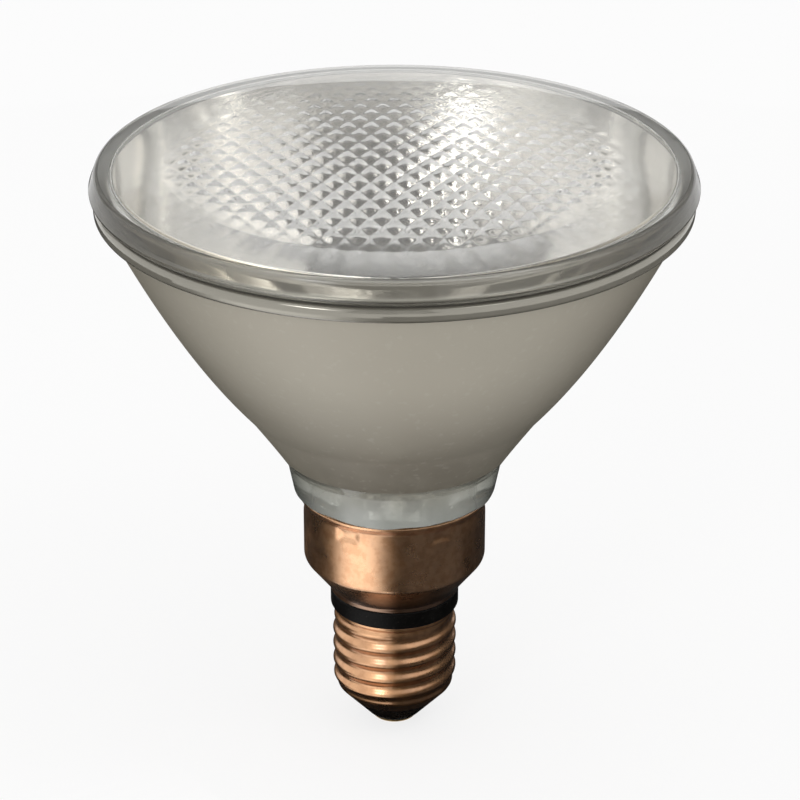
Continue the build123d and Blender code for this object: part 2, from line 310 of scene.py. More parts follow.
def makeDrawnGroup():
    group, given, out = newGroup("drawnMetal", drawnInputs, ("Lines", "Stain", "Dull"))
    place = objectPlace(group)
    stretch = vectorOf(group, {0: given["Around"], 1: given["Around"], 2: given["Along"]})
    pulled = addNode(group, "ShaderNodeVectorMath", {0: place, 1: stretch}, operation="MULTIPLY")
    lines = noiseAt(group, pulled.outputs[0], 1.0, detail=3.0, rough=0.55)
    stain = noiseAt(group, place, given["Stain Scale"], detail=6.0, rough=0.6)
    grain = calc(group, "MULTIPLY", given["Stain Scale"], drawnGrain["finer"])
    dull = noiseAt(group, place, grain, detail=3.0, rough=0.55)
    group.links.new(lines, out.inputs["Lines"])
    group.links.new(ramp(group, stain, *drawnGrain["stain"]), out.inputs["Stain"])
    group.links.new(ramp(group, dull, *drawnGrain["dull"]), out.inputs["Dull"])
    return group


handled = makeHandledGroup()
drawn = makeDrawnGroup()
print("shared effects ready")


# finishes: heights and radii in mm, a pair runs from low to high, bump is strength and depth
lensLook = {
    "shader": {"Transmission Weight": 1.0, "IOR": 1.5, "Metallic": 0.0},
    "marks": {"Scale": 34.0, "Low": 0.46, "High": 0.74}, "rough": (0.0, 0.035),
    "clear": (0.975, 0.972, 0.955, 1), "smudged": (0.955, 0.95, 0.93, 1),
    "border": (43.0, 48.0), "borderTop": (124.2, 124.6), "frost": 0.07,
    "wave": {"scale": 70.0, "detail": 2.0, "rough": 0.4}, "bump": (0.05, 0.2),
}
rimLook = {
    "shader": {"Transmission Weight": 0.5, "IOR": 1.5, "Metallic": 0.0},
    "marks": {"Scale": 60.0, "Low": 0.35, "High": 0.80}, "markShare": 0.3, "rough": (0.06, 0.16),
    # painted highlights on the pale bead and top edge, painted shade on the dark wall band between them
    "bead": tone(168, 165, 153), "wall": tone(132, 128, 117), "edge": tone(206, 204, 195),
    "smudged": tone(150, 147, 134), "within": tone(226, 225, 216),
    "wallFoot": (122.8, 123.6), "wallTop": (125.5, 126.3), "edgeFoot": (125.6, 126.2),
    # painted shade towards the outline
    "side": tone(66, 63, 56), "sideTurn": (0.01, 0.36), "sideShare": 0.88,
    "wave": {"scale": 120.0, "detail": 2.0, "rough": 0.45}, "bump": (0.2, 0.4),
}
mirrorLook = {
    "shader": {"Metallic": 1.0},
    "marks": {"Scale": 55.0, "Low": 0.40, "High": 0.72}, "rough": (0.05, 0.10),
    "clear": (0.93, 0.912, 0.875, 1), "smudged": (0.87, 0.853, 0.815, 1),
    "wave": {"scale": 80.0, "detail": 2.0, "rough": 0.5}, "bump": (0.04, 0.2),
}
quartzLook = {
    "shader": {"Transmission Weight": 1.0, "IOR": 1.46, "Metallic": 0.0},
    "marks": {"Scale": 200.0, "Low": 0.45, "High": 0.75}, "rough": (0.01, 0.06),
    "clear": (0.97, 0.975, 0.98, 1), "smudged": (0.92, 0.93, 0.94, 1),
    "wave": {"scale": 420.0, "detail": 2.0, "rough": 0.5}, "bump": (0.15, 0.15),
}
satinLook = {
    "shader": {"Metallic": 0.0, "Specular IOR Level": 0.16, "Coat Weight": 0.02, "Coat Roughness": 0.2},
    "marks": {"Scale": 26.0, "Low": 0.38, "High": 0.70}, "markShare": 0.35, "rough": (0.46, 0.60),
    # painted shade: the bowl darkens towards its foot, where it curves under
    "foot": tone(96, 90, 79), "top": tone(168, 162, 149), "fade": (60.0, 102.0),
    "smudged": tone(160, 156, 143), "speck": tone(200, 198, 188), "speckShare": 0.10,
    # painted shade towards the outline
    "side": tone(112, 107, 95), "sideTurn": (0.42, 0.95), "sideShare": 0.85,
    "lines": {"Around": 9.0, "Along": 420.0, "Stain Scale": 40.0}, "bump": (0.08, 0.12),
}
heelLook = {
    "shader": {"Transmission Weight": 0.6, "IOR": 1.5, "Metallic": 0.0},
    "marks": {"Scale": 90.0, "Low": 0.35, "High": 0.80}, "markShare": 0.25, "rough": (0.06, 0.16),
    # painted shade: the heel ring darkens towards its top, up under the bowl
    "foot": tone(228, 231, 224), "top": tone(198, 195, 182), "fade": (55.0, 65.5),
    "smudged": tone(176, 178, 166),
    # painted shade towards the outline
    "side": tone(92, 93, 84), "sideTurn": (0.30, 0.92), "sideShare": 0.80,
    "wave": {"scale": 110.0, "detail": 1.0, "rough": 0.4}, "bump": (0.3, 1.0),
}
flangeLook = {
    "shader": {"Transmission Weight": 0.2, "IOR": 1.5, "Metallic": 0.4, "Coat Weight": 0.6,
               "Coat Roughness": 0.08},
    "marks": {"Scale": 60.0, "Low": 0.35, "High": 0.80}, "markShare": 0.4, "rough": (0.06, 0.12),
    # painted shade: the flange darkens at its foot, in the corner under it
    "foot": tone(84, 81, 72), "top": tone(158, 154, 142), "fade": (117.6, 118.6),
    "smudged": tone(134, 131, 120),
    "wave": {"scale": 160.0, "detail": 2.0, "rough": 0.45}, "bump": (0.2, 0.4),
}
copperLook = {
    "shader": {"Metallic": 1.0, "Coat Weight": 0.7, "Coat Roughness": 0.22, "Coat IOR": 2.2},
    "marks": {"Scale": 120.0, "Low": 0.44, "High": 0.70}, "markRough": 0.10, "stainRough": (0.08, 0.27),
    "lines": {"Around": 20.0, "Along": 1700.0, "Stain Scale": 95.0}, "bump": (0.16, 0.06),
    "dullShare": 0.6, "stainShare": 0.30, "darkenedShare": 0.8,
}
skirtLook = {
    # darkened tone for stains and, below the foot height, painted shade on the cone and neck that face the
    # dark floor
    "bright": tone(228, 173, 124), "deep": tone(198, 135, 78), "darkened": tone(96, 59, 29),
    "darkenedFoot": (33.0, 41.0),
}
shellLook = {
    # darkened tone for stains and towards the foot of the shell
    "bright": tone(220, 162, 108), "deep": tone(190, 129, 74), "darkened": tone(112, 75, 40),
    "darkenedFoot": (4.5, 6.5),
}
darkLook = {
    "shader": {"IOR": 1.52, "Specular IOR Level": 0.12, "Coat Roughness": 0.06},
    "marks": {"Scale": 170.0, "Low": 0.42, "High": 0.72}, "markShare": 0.6, "bump": (0.2, 0.08),
    "speck": tone(92, 86, 78), "speckShare": 0.15,
}
darkLooks = {  # clean and dusty colour, roughness, coat, scale of the grain
    "blackRing": (tone(6, 5, 4), tone(16, 14, 12), (0.45, 0.65), 0.0, 900.0),
    "blackGlass": (tone(18, 13, 9), tone(30, 24, 18), (0.16, 0.34), 0.2, 500.0),
    "sealCement": (tone(64, 62, 56), tone(86, 84, 76), (0.5, 0.75), 0.0, 1400.0),
}
metalLook = {"shader": {"Metallic": 1.0}, "lines": {"Around": 60.0, "Along": 2400.0}, "bump": (0.12, 0.04)}
metalLooks = {  # bright and deep colour, roughness, scale of the stains
    "contactBrass": (tone(178, 148, 98), tone(112, 88, 56), (0.25, 0.45), 220.0),
    "softSolder": (tone(196, 196, 194), tone(150, 150, 150), (0.28, 0.5), 400.0),
    "nickelMetal": (tone(200, 197, 190), tone(160, 156, 148), (0.18, 0.36), 220.0),
    "molyFoil": (tone(186, 186, 190), tone(150, 150, 156), (0.25, 0.45), 220.0),
    "tungstenWire": (tone(150, 147, 143), tone(104, 102, 100), (0.3, 0.5), 700.0),
    "copperWire": (tone(214, 158, 118), tone(170, 112, 76), (0.22, 0.4), 220.0),
}


def heightMask(tree, low, high):
    return ramp(tree, partsOf(tree, objectPlace(tree))[2], low * mm, high * mm)


def radiusMask(tree, low, high):
    parts = partsOf(tree, objectPlace(tree))
    flat = vectorOf(tree, {0: parts[0], 1: parts[1]})
    length = addNode(tree, "ShaderNodeVectorMath", {0: flat}, operation="LENGTH").outputs["Value"]
    return ramp(tree, length, low * mm, high * mm)


def spread(tree, mask, low, high):
    return ramp(tree, mask, 0.0, 1.0, low, high)


def bumpOn(tree, shader, height, strength, depth):
    values = {"Strength": strength, "Distance": depth * mm, "Height": height}
    bump = addNode(tree, "ShaderNodeBump", values)
    tree.links.new(bump.outputs[0], shader.inputs["Normal"])


def waveOn(tree, shader, look):
    bumpOn(tree, shader, noiseAt(tree, objectPlace(tree), **look["wave"]), *look["bump"])


def paintedEdgeShade(tree, colour, look):
    facing = addNode(tree, "ShaderNodeLayerWeight", {"Blend": 0.5}).outputs["Facing"]
    turned = ramp(tree, facing, *look["sideTurn"], 0.0, look["sideShare"])
    return blendColour(tree, turned, colour, look["side"])  # painted shade: the colour darkens towards the outline, where the surface turns away from the view


def lensGlassFinish():
    look = lensLook
    material, tree, shader = newMaterial("lensGlass", look["shader"])
    smudge = useGroup(tree, handled, look["marks"])["Smudge"]
    below = calc(tree, "SUBTRACT", 1.0, heightMask(tree, *look["borderTop"]))
    border = calc(tree, "MULTIPLY", radiusMask(tree, *look["border"]), below)
    rough = calc(tree, "MULTIPLY_ADD", border, look["frost"], spread(tree, smudge, *look["rough"]))
    feed(tree, shader, blendColour(tree, smudge, look["clear"], look["smudged"]), rough)
    waveOn(tree, shader, look)
    return material


def rimGlassFinish():
    look = rimLook
    material, tree, shader = newMaterial("rimGlass", look["shader"])
    smudge = useGroup(tree, handled, look["marks"])["Smudge"]
    # painted shade on the wall band, painted highlights on the bead and the top edge
    wall = calc(tree, "SUBTRACT", heightMask(tree, *look["wallFoot"]), heightMask(tree, *look["wallTop"]))
    outside = blendColour(tree, heightMask(tree, *look["edgeFoot"]), look["bead"], look["edge"])
    outside = blendColour(tree, wall, outside, look["wall"])
    outside = blendShare(tree, smudge, look["markShare"], outside, look["smudged"])
    outside = paintedEdgeShade(tree, outside, look)
    within = addNode(tree, "ShaderNodeNewGeometry").outputs["Backfacing"]
    colour = blendColour(tree, within, outside, look["within"])
    feed(tree, shader, colour, spread(tree, smudge, *look["rough"]))
    waveOn(tree, shader, look)
    return material


def clearFinish(name, look):
    material, tree, shader = newMaterial(name, look["shader"])
    smudge = useGroup(tree, handled, look["marks"])["Smudge"]
    colour = blendColour(tree, smudge, look["clear"], look["smudged"])
    feed(tree, shader, colour, spread(tree, smudge, *look["rough"]))
    waveOn(tree, shader, look)
    return material


def gradedFinish(name, look):
    material, tree, shader = newMaterial(name, look["shader"])
    marks = useGroup(tree, handled, look["marks"])
    # colour runs from the foot tone to the top tone: painted shade on the bowl, heel ring and flange
    colour = blendColour(tree, heightMask(tree, *look["fade"]), look["foot"], look["top"])
    colour = blendShare(tree, marks["Smudge"], look["markShare"], colour, look["smudged"])
    if "speck" in look:
        colour = blendShare(tree, marks["Speck"], look["speckShare"], colour, look["speck"])
    if "side" in look:
        colour = paintedEdgeShade(tree, colour, look)
    feed(tree, shader, colour, spread(tree, marks["Smudge"], *look["rough"]))
    if "lines" in look:
        bumpOn(tree, shader, useGroup(tree, drawn, look["lines"])["Lines"], *look["bump"])
    else:
        waveOn(tree, shader, look)
    return material


def copperFinish(name, own):
    look = {**copperLook, **own}
    material, tree, shader = newMaterial(name, look["shader"])
    metal = useGroup(tree, drawn, look["lines"])
    smudge = useGroup(tree, handled, look["marks"])["Smudge"]
    colour = blendShare(tree, metal["Dull"], look["dullShare"], look["bright"], look["deep"])
    stain = calc(tree, "MULTIPLY", metal["Stain"], look["stainShare"])
    # darker towards the foot: painted shade on the skirt's cone, the shell's lip darkened the same way
    foot = calc(tree, "SUBTRACT", 1.0, heightMask(tree, *look["darkenedFoot"]))
    darkened = calc(tree, "MAXIMUM", stain, foot, clamp=True)
    colour = blendShare(tree, darkened, look["darkenedShare"], colour, look["darkened"])
    rough = calc(tree, "MULTIPLY_ADD", metal["Stain"], *look["stainRough"])
    feed(tree, shader, colour, calc(tree, "MULTIPLY_ADD", smudge, look["markRough"], rough))
    bumpOn(tree, shader, metal["Lines"], *look["bump"])
    return material


def darkFinish(name, clean, dusty, rough, coat, grain):
    look = darkLook
    material, tree, shader = newMaterial(name, {**look["shader"], "Coat Weight": coat})
    marks = useGroup(tree, handled, look["marks"])
    colour = blendShare(tree, marks["Smudge"], look["markShare"], clean, dusty)
    colour = blendShare(tree, marks["Speck"], look["speckShare"], colour, look["speck"])
    feed(tree, shader, colour, spread(tree, marks["Smudge"], *rough))
    bumpOn(tree, shader, noiseAt(tree, objectPlace(tree), grain, detail=3.0, rough=0.55), *look["bump"])
    return material


def metalFinish(name, bright, deep, rough, stains):
    look = metalLook
    material, tree, shader = newMaterial(name, look["shader"])
    metal = useGroup(tree, drawn, {**look["lines"], "Stain Scale": stains})
    colour = blendColour(tree, metal["Stain"], bright, deep)
    feed(tree, shader, colour, spread(tree, metal["Dull"], *rough))
    bumpOn(tree, shader, metal["Lines"], *look["bump"])
    return material


lensGlass = lensGlassFinish()
rimGlass = rimGlassFinish()
mirrorCoat = clearFinish("mirrorCoat", mirrorLook)
satinBowl = gradedFinish("satinBowl", satinLook)
heelGlass = gradedFinish("heelGlass", heelLook)
flangeGlass = gradedFinish("flangeGlass", flangeLook)
skirtCopper = copperFinish("skirtCopper", skirtLook)
shellCopper = copperFinish("shellCopper", shellLook)
blackRing, blackGlass, sealCement = (darkFinish(name, *look) for name, look in darkLooks.items())
contactBrass, softSolder, nickelMetal, molyFoil, tungstenWire, copperWire = (
    metalFinish(name, *look) for name, look in metalLooks.items())
quartzTube = clearFinish("quartzTube", quartzLook)
print("finishes ready,", len(bpy.data.materials))


# geometry trees

def newTree(name, sizes):
    tree = bpy.data.node_groups.new(name, "GeometryNodeTree")
    tree.interface.new_socket(name="Geometry", in_out="INPUT", socket_type="NodeSocketGeometry")
    for label, value in sizes.items():
        kind = "NodeSocketInt" if isinstance(value, int) else "NodeSocketFloat"
        tree.interface.new_socket(name=label, in_out="INPUT", socket_type=kind).default_value = value
    tree.interface.new_socket(name="Geometry", in_out="OUTPUT", socket_type="NodeSocketGeometry")
    return tree, tree.nodes.new("NodeGroupInput").outputs, tree.nodes.new("NodeGroupOutput")


def endTree(tree, out, geometry, material, *others):
    real = addNode(tree, "GeometryNodeRealizeInstances", {0: geometry}).outputs[0]
    dressed = addNode(tree, "GeometryNodeSetMaterial", {"Geometry": real, "Material": material}).outputs[0]
    for chosen, other in others:
        dressed = addNode(tree, "GeometryNodeSetMaterial", {"Geometry": dressed, "Selection": chosen,
                          "Material": other}).outputs[0]
    tree.links.new(dressed, out.inputs[0])


def shapeWith(piece, tree, sizes):
    modifier = piece.modifiers.new("shape", "NODES")
    modifier.node_group = tree
    names = {item.name: item.identifier for item in tree.interface.items_tree if item.in_out == "INPUT"}
    for label, value in sizes.items():
        modifier[names[label]] = value
    return plainMesh(piece)


def placeParts(tree):
    return partsOf(tree, addNode(tree, "GeometryNodeInputPosition").outputs[0])


def radiusOf(tree, parts):
    squares = [calc(tree, "MULTIPLY", part, part) for part in (parts[0], parts[1])]
    return calc(tree, "SQRT", calc(tree, "ADD", *squares))


def moveBy(tree, geometry, offset):
    plugs = {"Geometry": geometry, "Offset": offset}
    return addNode(tree, "GeometryNodeSetPosition", plugs).outputs[0]


def pushOut(tree, geometry, parts, radius, amount):
    share = calc(tree, "DIVIDE", amount, radius)  # along the radius, away from the axis
    sides = {side: calc(tree, "MULTIPLY", parts[side], share) for side in (0, 1)}
    return moveBy(tree, geometry, vectorOf(tree, sides))


# lens: domed outside, a field of rhombic dimples inside, thick pressed rim
lensSizes = {
    "rimRadius": 60.7, "edgeRadius": 59.4, "flangeRadius": 59.9, "mouthRadius": 56.0, "fieldRadius": 46.0,
    "domeRadius": 48.0, "seat": 121.2, "bead": 122.4, "window": 123.6, "edge": 126.2, "top": 131.6,
    "mouthRounding": 0.8, "seatRounding": 0.3, "beadRounding": 0.9, "beadOut": 0.12,
    "edgeRounding": 1.3, "edgeOut": 0.02, "edgeDrop": 0.05, "cells": 160, "sharpAngle": 60,
}
dimpleSizes = {
    "Pitch Across": 4.6 * mm, "Pitch Along": 8.0 * mm, "Dimple Depth": 0.6 * mm, "Dimple Floor": 0.2 * mm,
    "Field Radius": lensSizes["fieldRadius"] * mm, "Field Edge": 5.0 * mm, "Face Height": 123.7 * mm,
    "Rim Radius": 57.4 * mm, "Rim Top": 126.4 * mm, "Shallow From": 16.0 * mm, "Shallow Share": 0.75,
}


def dimpleTree():
    tree, given, out = newTree("lensDimples", dimpleSizes)
    parts = placeParts(tree)
    across = calc(tree, "DIVIDE", parts[0], given["Pitch Across"])
    along = calc(tree, "DIVIDE", parts[1], given["Pitch Along"])
    hollows = []
    for way in ("ADD", "SUBTRACT"):  # two crossing sets of round grooves leave rhombic dimples
        groove = calc(tree, "FRACT", calc(tree, way, across, along))
        off = calc(tree, "MULTIPLY_ADD", groove, 2.0, -1.0)
        hollows.append(calc(tree, "SUBTRACT", 1.0, calc(tree, "MULTIPLY", off, off)))
    radius = radiusOf(tree, parts)
    length = calc(tree, "SUBTRACT", given["Field Radius"], given["Shallow From"])
    outward = wayAlong(tree, given["Shallow From"], radius, length, clamp=True)
    share = calc(tree, "SUBTRACT", 1.0, calc(tree, "MULTIPLY", outward, given["Shallow Share"]))
    depth = calc(tree, "MULTIPLY", share, given["Dimple Depth"])
    dimple = calc(tree, "MULTIPLY_ADD", calc(tree, "MULTIPLY", *hollows), depth, given["Dimple Floor"])
    inside = wayAlong(tree, radius, given["Field Radius"], given["Field Edge"], clamp=True)
    onFace = calc(tree, "LESS_THAN", parts[2], given["Face Height"])
    lift = calc(tree, "MULTIPLY", calc(tree, "MULTIPLY", dimple, inside), onFace)
    moved = moveBy(tree, given["Geometry"], vectorOf(tree, {2: lift}))
    rim = calc(tree, "MULTIPLY", calc(tree, "GREATER_THAN", radius, given["Rim Radius"]),
               calc(tree, "LESS_THAN", parts[2], given["Rim Top"]))
    endTree(tree, out, moved, lensGlass, (rim, rimGlass))
    return tree


def makeLens():
    s = Sizes(**lensSizes)
    rise = s.top - s.edge
    ball = (s.edgeRadius ** 2 + rise ** 2) / (2 * rise)

    def domeAt(r):
        return s.top - ball + math.sqrt(ball ** 2 - r * r)

    rim = roundCorners([
        (s.fieldRadius, s.window, 0), (s.mouthRadius, s.window, s.mouthRounding),
        (s.mouthRadius, s.seat, 0), (s.flangeRadius - s.seatRounding, s.seat, s.seatRounding),
        (s.rimRadius + s.beadOut, s.bead, s.beadRounding),
        (s.edgeRadius + s.edgeOut, s.edge - s.edgeDrop, s.edgeRounding),
        (s.domeRadius, domeAt(s.domeRadius), 0)], steps=6)
    cells = s.cells
    wall = spinMesh("lensWall", rim, 4 * cells, closed=False, turn=-math.pi / 4)  # meets the discs' edges
    inner = discMesh("lensInner", s.fieldRadius, cells, lambda r: s.window)
    outer = discMesh("lensOuter", s.domeRadius, cells, domeAt)
    piece = newPiece("lensGlassFront", closeMesh(wall, inner, outer, sharpAngle=s.sharpAngle))
    mesh = shapeWith(piece, dimpleTree(), dimpleSizes)
    mesh.shade_smooth()
    mesh.set_sharp_from_angle(angle=math.radians(s.sharpAngle))
    return settle(piece, "lens_glass", "lens")


lensPiece = makeLens()
print("lens done,", len(lensPiece.data.polygons), "faces")


# reflector: mirror inside, satin outside, clear heel and flange
bowlSizes = {
    "mirrorFocal": 13.2, "bowlFocal": 13.9, "mirrorRadius": 56.0, "bowlRadius": 57.5, "flangeRadius": 59.9,
    "flangeFoot": 117.0, "flangeTop": 120.8, "flangeRounding": 1.3, "underRounding": 0.9,
    "blendRadius": 31.16, "blendPull": (25.4, 67.0), "ringTopRadius": 22.3, "ringRadius": 20.85,
    "ringTop": 62.0, "ringFoot": 54.6, "ringRounding": 0.9, "heelRadius": 18.35, "heelFoot": 44.5,
    "heelRounding": 0.8, "wellRadius": 10.5, "wellFloor": 49.5, "wellRounding": 1.2,
    "grooveDepth": 0.85, "grooveTop": 52.6, "grooveFoot": 49.8, "grooveRounding": 0.3,
    "mirrorSteps": 48, "bowlSteps": 44, "blendSteps": 15, "joinAt": 3, "segments": 288, "sharpAngle": 42,
}
coatSizes = {"slack": 0.4, "foot": 51.5, "flangeFoot": 117.1, "heelTop": 64.5, "wellRadius": 10.6}
waveSizes = {  # each swing is its count round the ring, its start and its share
    "height": 0.7, "rise": 3.0, "inner": 18.85, "most": 1.01,
    "swings": ((5, 0.7, 1.0), (9, 2.1, 0.6), (16, 0.0, 0.4)),
}
drillSizes = {"spread": 3.6, "radius": 1.9, "foot": 40.0, "top": 52.0, "segments": 40}


def wavyFoot(mesh):
    s = Sizes(**waveSizes)  # fire-polished edge of the heel ring, never quite level
    for vert in mesh.vertices:
        x, y, z = vert.co / mm
        share = 1 - (z - bowlSizes["ringFoot"]) / s.rise
        if math.hypot(x, y) < s.inner or not 0 < share <= s.most:
            continue
        a = math.atan2(y, x)
        swing = sum(size * math.sin(count * a + start) for count, start, size in s.swings) / 2
        vert.co.z += s.height * mm * share * (1 + swing) / 2


def drillHoles(piece):
    s = Sizes(**drillSizes)
    line = [(0, s.foot), (s.radius, s.foot), (s.radius, s.top), (0, s.top)]
    plugs = []
    for x in (-s.spread, s.spread):
        plug = spinMesh("drill", line, s.segments, closed=False)
        for vert in plug.vertices:
            vert.co.x += x * mm
        cut = piece.modifiers.new("hole", "BOOLEAN")
        cut.operation, cut.solver = "DIFFERENCE", "EXACT"
        cut.object = newPiece("drill", closeMesh(plug), heelGlass)
        plugs.append(plug)
    closeMesh(plainMesh(piece), sharpAngle=bowlSizes["sharpAngle"])
    for plug in plugs:
        bpy.data.meshes.remove(plug)  # takes the drill's object with it


def makeReflector():
    s, coat = Sizes(**bowlSizes), Sizes(**coatSizes)
    mirrorVertex = s.flangeTop - s.mirrorRadius ** 2 / (4 * s.mirrorFocal)
    bowlVertex = s.flangeFoot - s.bowlRadius ** 2 / (4 * s.bowlFocal)
    mirror = parabolaLine(s.mirrorFocal, mirrorVertex, s.wellRadius, s.mirrorRadius, s.mirrorSteps)
    outside = parabolaLine(s.bowlFocal, bowlVertex, s.bowlRadius, s.blendRadius, s.bowlSteps)
    flange = roundCorners([
        mirror[-1] + (0,), (s.flangeRadius, s.flangeTop, s.flangeRounding),
        (s.flangeRadius, s.flangeFoot + s.underRounding, s.underRounding),
        (s.bowlRadius, s.flangeFoot, s.underRounding), outside[s.joinAt] + (0,)])
    ends = (outside[-1], s.blendPull, (s.ringTopRadius, s.ringTop))
    blend = []
    for k in range(1, s.blendSteps):  # the bowl draws in to the heel ring
        t = k / s.blendSteps
        shares = ((1 - t) ** 2, 2 * t * (1 - t), t * t)
        blend.append(tuple(sum(share * end[side] for share, end in zip(shares, ends)) for side in (0, 1)))
    groove = s.heelRadius - s.grooveDepth
    heel = roundCorners([
        blend[-1] + (0,), (s.ringTopRadius, s.ringTop, 0), (s.ringRadius, s.ringFoot, s.ringRounding),
        (s.heelRadius, s.ringFoot, 0), (s.heelRadius, s.grooveTop + s.grooveDepth, 0),
        (groove, s.grooveTop, s.grooveRounding), (groove, s.grooveFoot, s.grooveRounding),
        (s.heelRadius, s.grooveFoot - s.grooveDepth, 0), (s.heelRadius, s.heelFoot, s.heelRounding),
        (0, s.heelFoot, 0), (0, s.wellFloor, 0), (s.wellRadius, s.wellFloor, s.wellRounding),
        mirror[0] + (0,)])
    line = mirror + flange[1:-1] + outside[s.joinAt:] + blend + heel[1:-1]

    def paintAt(r, z):
        lit = mirrorVertex + r * r / (4 * s.mirrorFocal)
        if r < s.mirrorRadius and z > lit - coat.slack and z > coat.foot:
            return 1  # mirror coat
        if z > coat.flangeFoot:
            return 3  # flange glass
        return 2 if z < coat.heelTop or r < coat.wellRadius else 0  # heel glass or satin bowl

    mesh = spinMesh("reflectorBowl", line, s.segments, paintAt=paintAt)
    closeMesh(mesh, sharpAngle=s.sharpAngle)
    wavyFoot(mesh)
    piece = newPiece("reflectorBowl", mesh, satinBowl, mirrorCoat, heelGlass, flangeGlass)
    drillHoles(piece)
    return settle(piece, "reflector_glass", "reflector")


bowlPiece = makeReflector()
print("reflector done,", len(bowlPiece.data.polygons), "faces")


# bead of cement between flange and lens
sealSizes = {
    "inner": 56.5, "outer": 59.4, "foot": 120.82, "top": 121.17, "inRounding": 0.05, "outRounding": 0.12,
    "segments": 288,
}


def makeSeal():
    s = Sizes(**sealSizes)
    line = roundCorners([
        (s.inner, s.foot, s.inRounding), (s.outer, s.foot, s.outRounding),
        (s.outer, s.top, s.outRounding), (s.inner, s.top, s.inRounding)], steps=3)
    return spunPiece("rimSeal", line, s.segments, sealCement, "sealant", "rim_seal")


makeSeal()
print("seal done")


# skirt: drawn cup, its lip flared under the heel ring and pressed in at the crimps
skirtSizes = {
    "hole": 12.05, "neck": 13.7, "side": 19.0, "lip": 20.1, "wall": 0.5, "foot": 31.5, "neckTop": 32.6,
    "corner": 39.4, "lipFoot": 52.6, "top": 54.6, "inRise": 0.2, "step": 0.4, "segments": 240,
    "sharpAngle": 50,
}
skirtRoundings = {
    "hole": 0.1, "foot": 0.45, "neck": 0.8, "neckIn": 0.5, "corner": 1.9, "flare": 1.2, "flareIn": 0.8,
    "lip": 0.3, "lipTop": 0.2,
}
crimpSizes = {
    "Count": 6, "Turn": math.radians(-60), "Width": 6.2 * mm, "Depth": 0.42 * mm, "Low": 49.2 * mm,
    "High": 53.2 * mm, "Side Radius": skirtSizes["side"] * mm, "Soft": 2.0 * mm, "Ease": 0.5,
}


def crimpTree():
    tree, given, out = newTree("skirtCrimps", crimpSizes)
    parts = placeParts(tree)
    radius = radiusOf(tree, parts)
    angle = calc(tree, "ARCTAN2", parts[1], parts[0])
    step = calc(tree, "DIVIDE", 2 * math.pi, given["Count"])
    turns = wayAlong(tree, given["Turn"], angle, step)
    off = calc(tree, "MULTIPLY", calc(tree, "SUBTRACT", turns, calc(tree, "ROUND", turns)), step)
    across = calc(tree, "MULTIPLY", calc(tree, "ABSOLUTE", off), given["Side Radius"])
    half = calc(tree, "DIVIDE", given["Width"], 2.0)
    wide = calc(tree, "SMOOTH_MIN", 1.0, wayAlong(tree, across, half, given["Soft"]), given["Ease"])
    low = wayAlong(tree, given["Low"], parts[2], given["Soft"])
    high = wayAlong(tree, parts[2], given["High"], given["Soft"])
    tall = calc(tree, "SMOOTH_MIN", 1.0, calc(tree, "MINIMUM", low, high), given["Ease"])
    press = calc(tree, "MAXIMUM", 0.0, calc(tree, "MINIMUM", wide, tall))
    square = calc(tree, "MULTIPLY", press, press)
    soft = calc(tree, "MULTIPLY", square, calc(tree, "MULTIPLY_ADD", press, -2.0, 3.0))
    press = calc(tree, "MULTIPLY", soft, calc(tree, "MULTIPLY", given["Depth"], -1.0))
    endTree(tree, out, pushOut(tree, given["Geometry"], parts, radius, press), skirtCopper)
    return tree


def makeSkirt():
    s, r = Sizes(**skirtSizes), Sizes(**skirtRoundings)
    w = s.wall
    line = roundCorners([
        (s.hole, s.foot, r.hole), (s.neck, s.foot, r.foot), (s.neck, s.neckTop, r.neck),
        (s.side, s.corner, r.corner), (s.side, s.lipFoot, r.flare), (s.lip, s.top - w, r.lip),
        (s.lip, s.top, r.lipTop), (s.side, s.top, r.lip), (s.side - w, s.lipFoot + w, r.flareIn),
        (s.side - w, s.corner + s.inRise, r.corner - w), (s.neck - w, s.neckTop + s.inRise, r.neckIn),
        (s.neck - w, s.foot + w, r.hole), (s.hole, s.foot + w, r.hole)])
    mesh = spinMesh("skirtCup", divideLine(line, s.step), s.segments)
    piece = newPiece("skirtCup", closeMesh(mesh, sharpAngle=s.sharpAngle))
    shapeWith(piece, crimpTree(), crimpSizes)
    return settle(piece, "copper_skirt", "skirt")


skirtPiece = makeSkirt()
print("skirt done,", len(skirtPiece.data.polygons), "faces")


# screw shell: one rolled sheet with a round helical thread
shellSizes = {
    "lip": 9.6, "root": 12.25, "bead": 12.95, "tail": 12.0, "wall": 0.45, "foot": 5.6, "threadFoot": 8.5,
    "beadFoot": 26.2, "beadTop": 27.6, "skirtFloor": 32.0, "curl": 13.0, "step": 0.22, "segments": 192,
    "sharpAngle": 50,
}
shellRoundings = {
    "lip": 0.2, "lipIn": 0.15, "foot": 1.2, "footIn": 0.6, "bead": 0.4, "beadTop": 0.25, "curl": 0.1,
    "curlTop": 0.15, "tail": 0.3,
}
threadSizes = {
    "Pitch": 25.4 / 7 * mm, "Depth": 0.85 * mm, "Foot": shellSizes["threadFoot"] * mm,
    "Top": shellSizes["beadFoot"] * mm, "Fade": 2.4 * mm, "Ease": 0.2, "Outside From": 12.05 * mm,
}


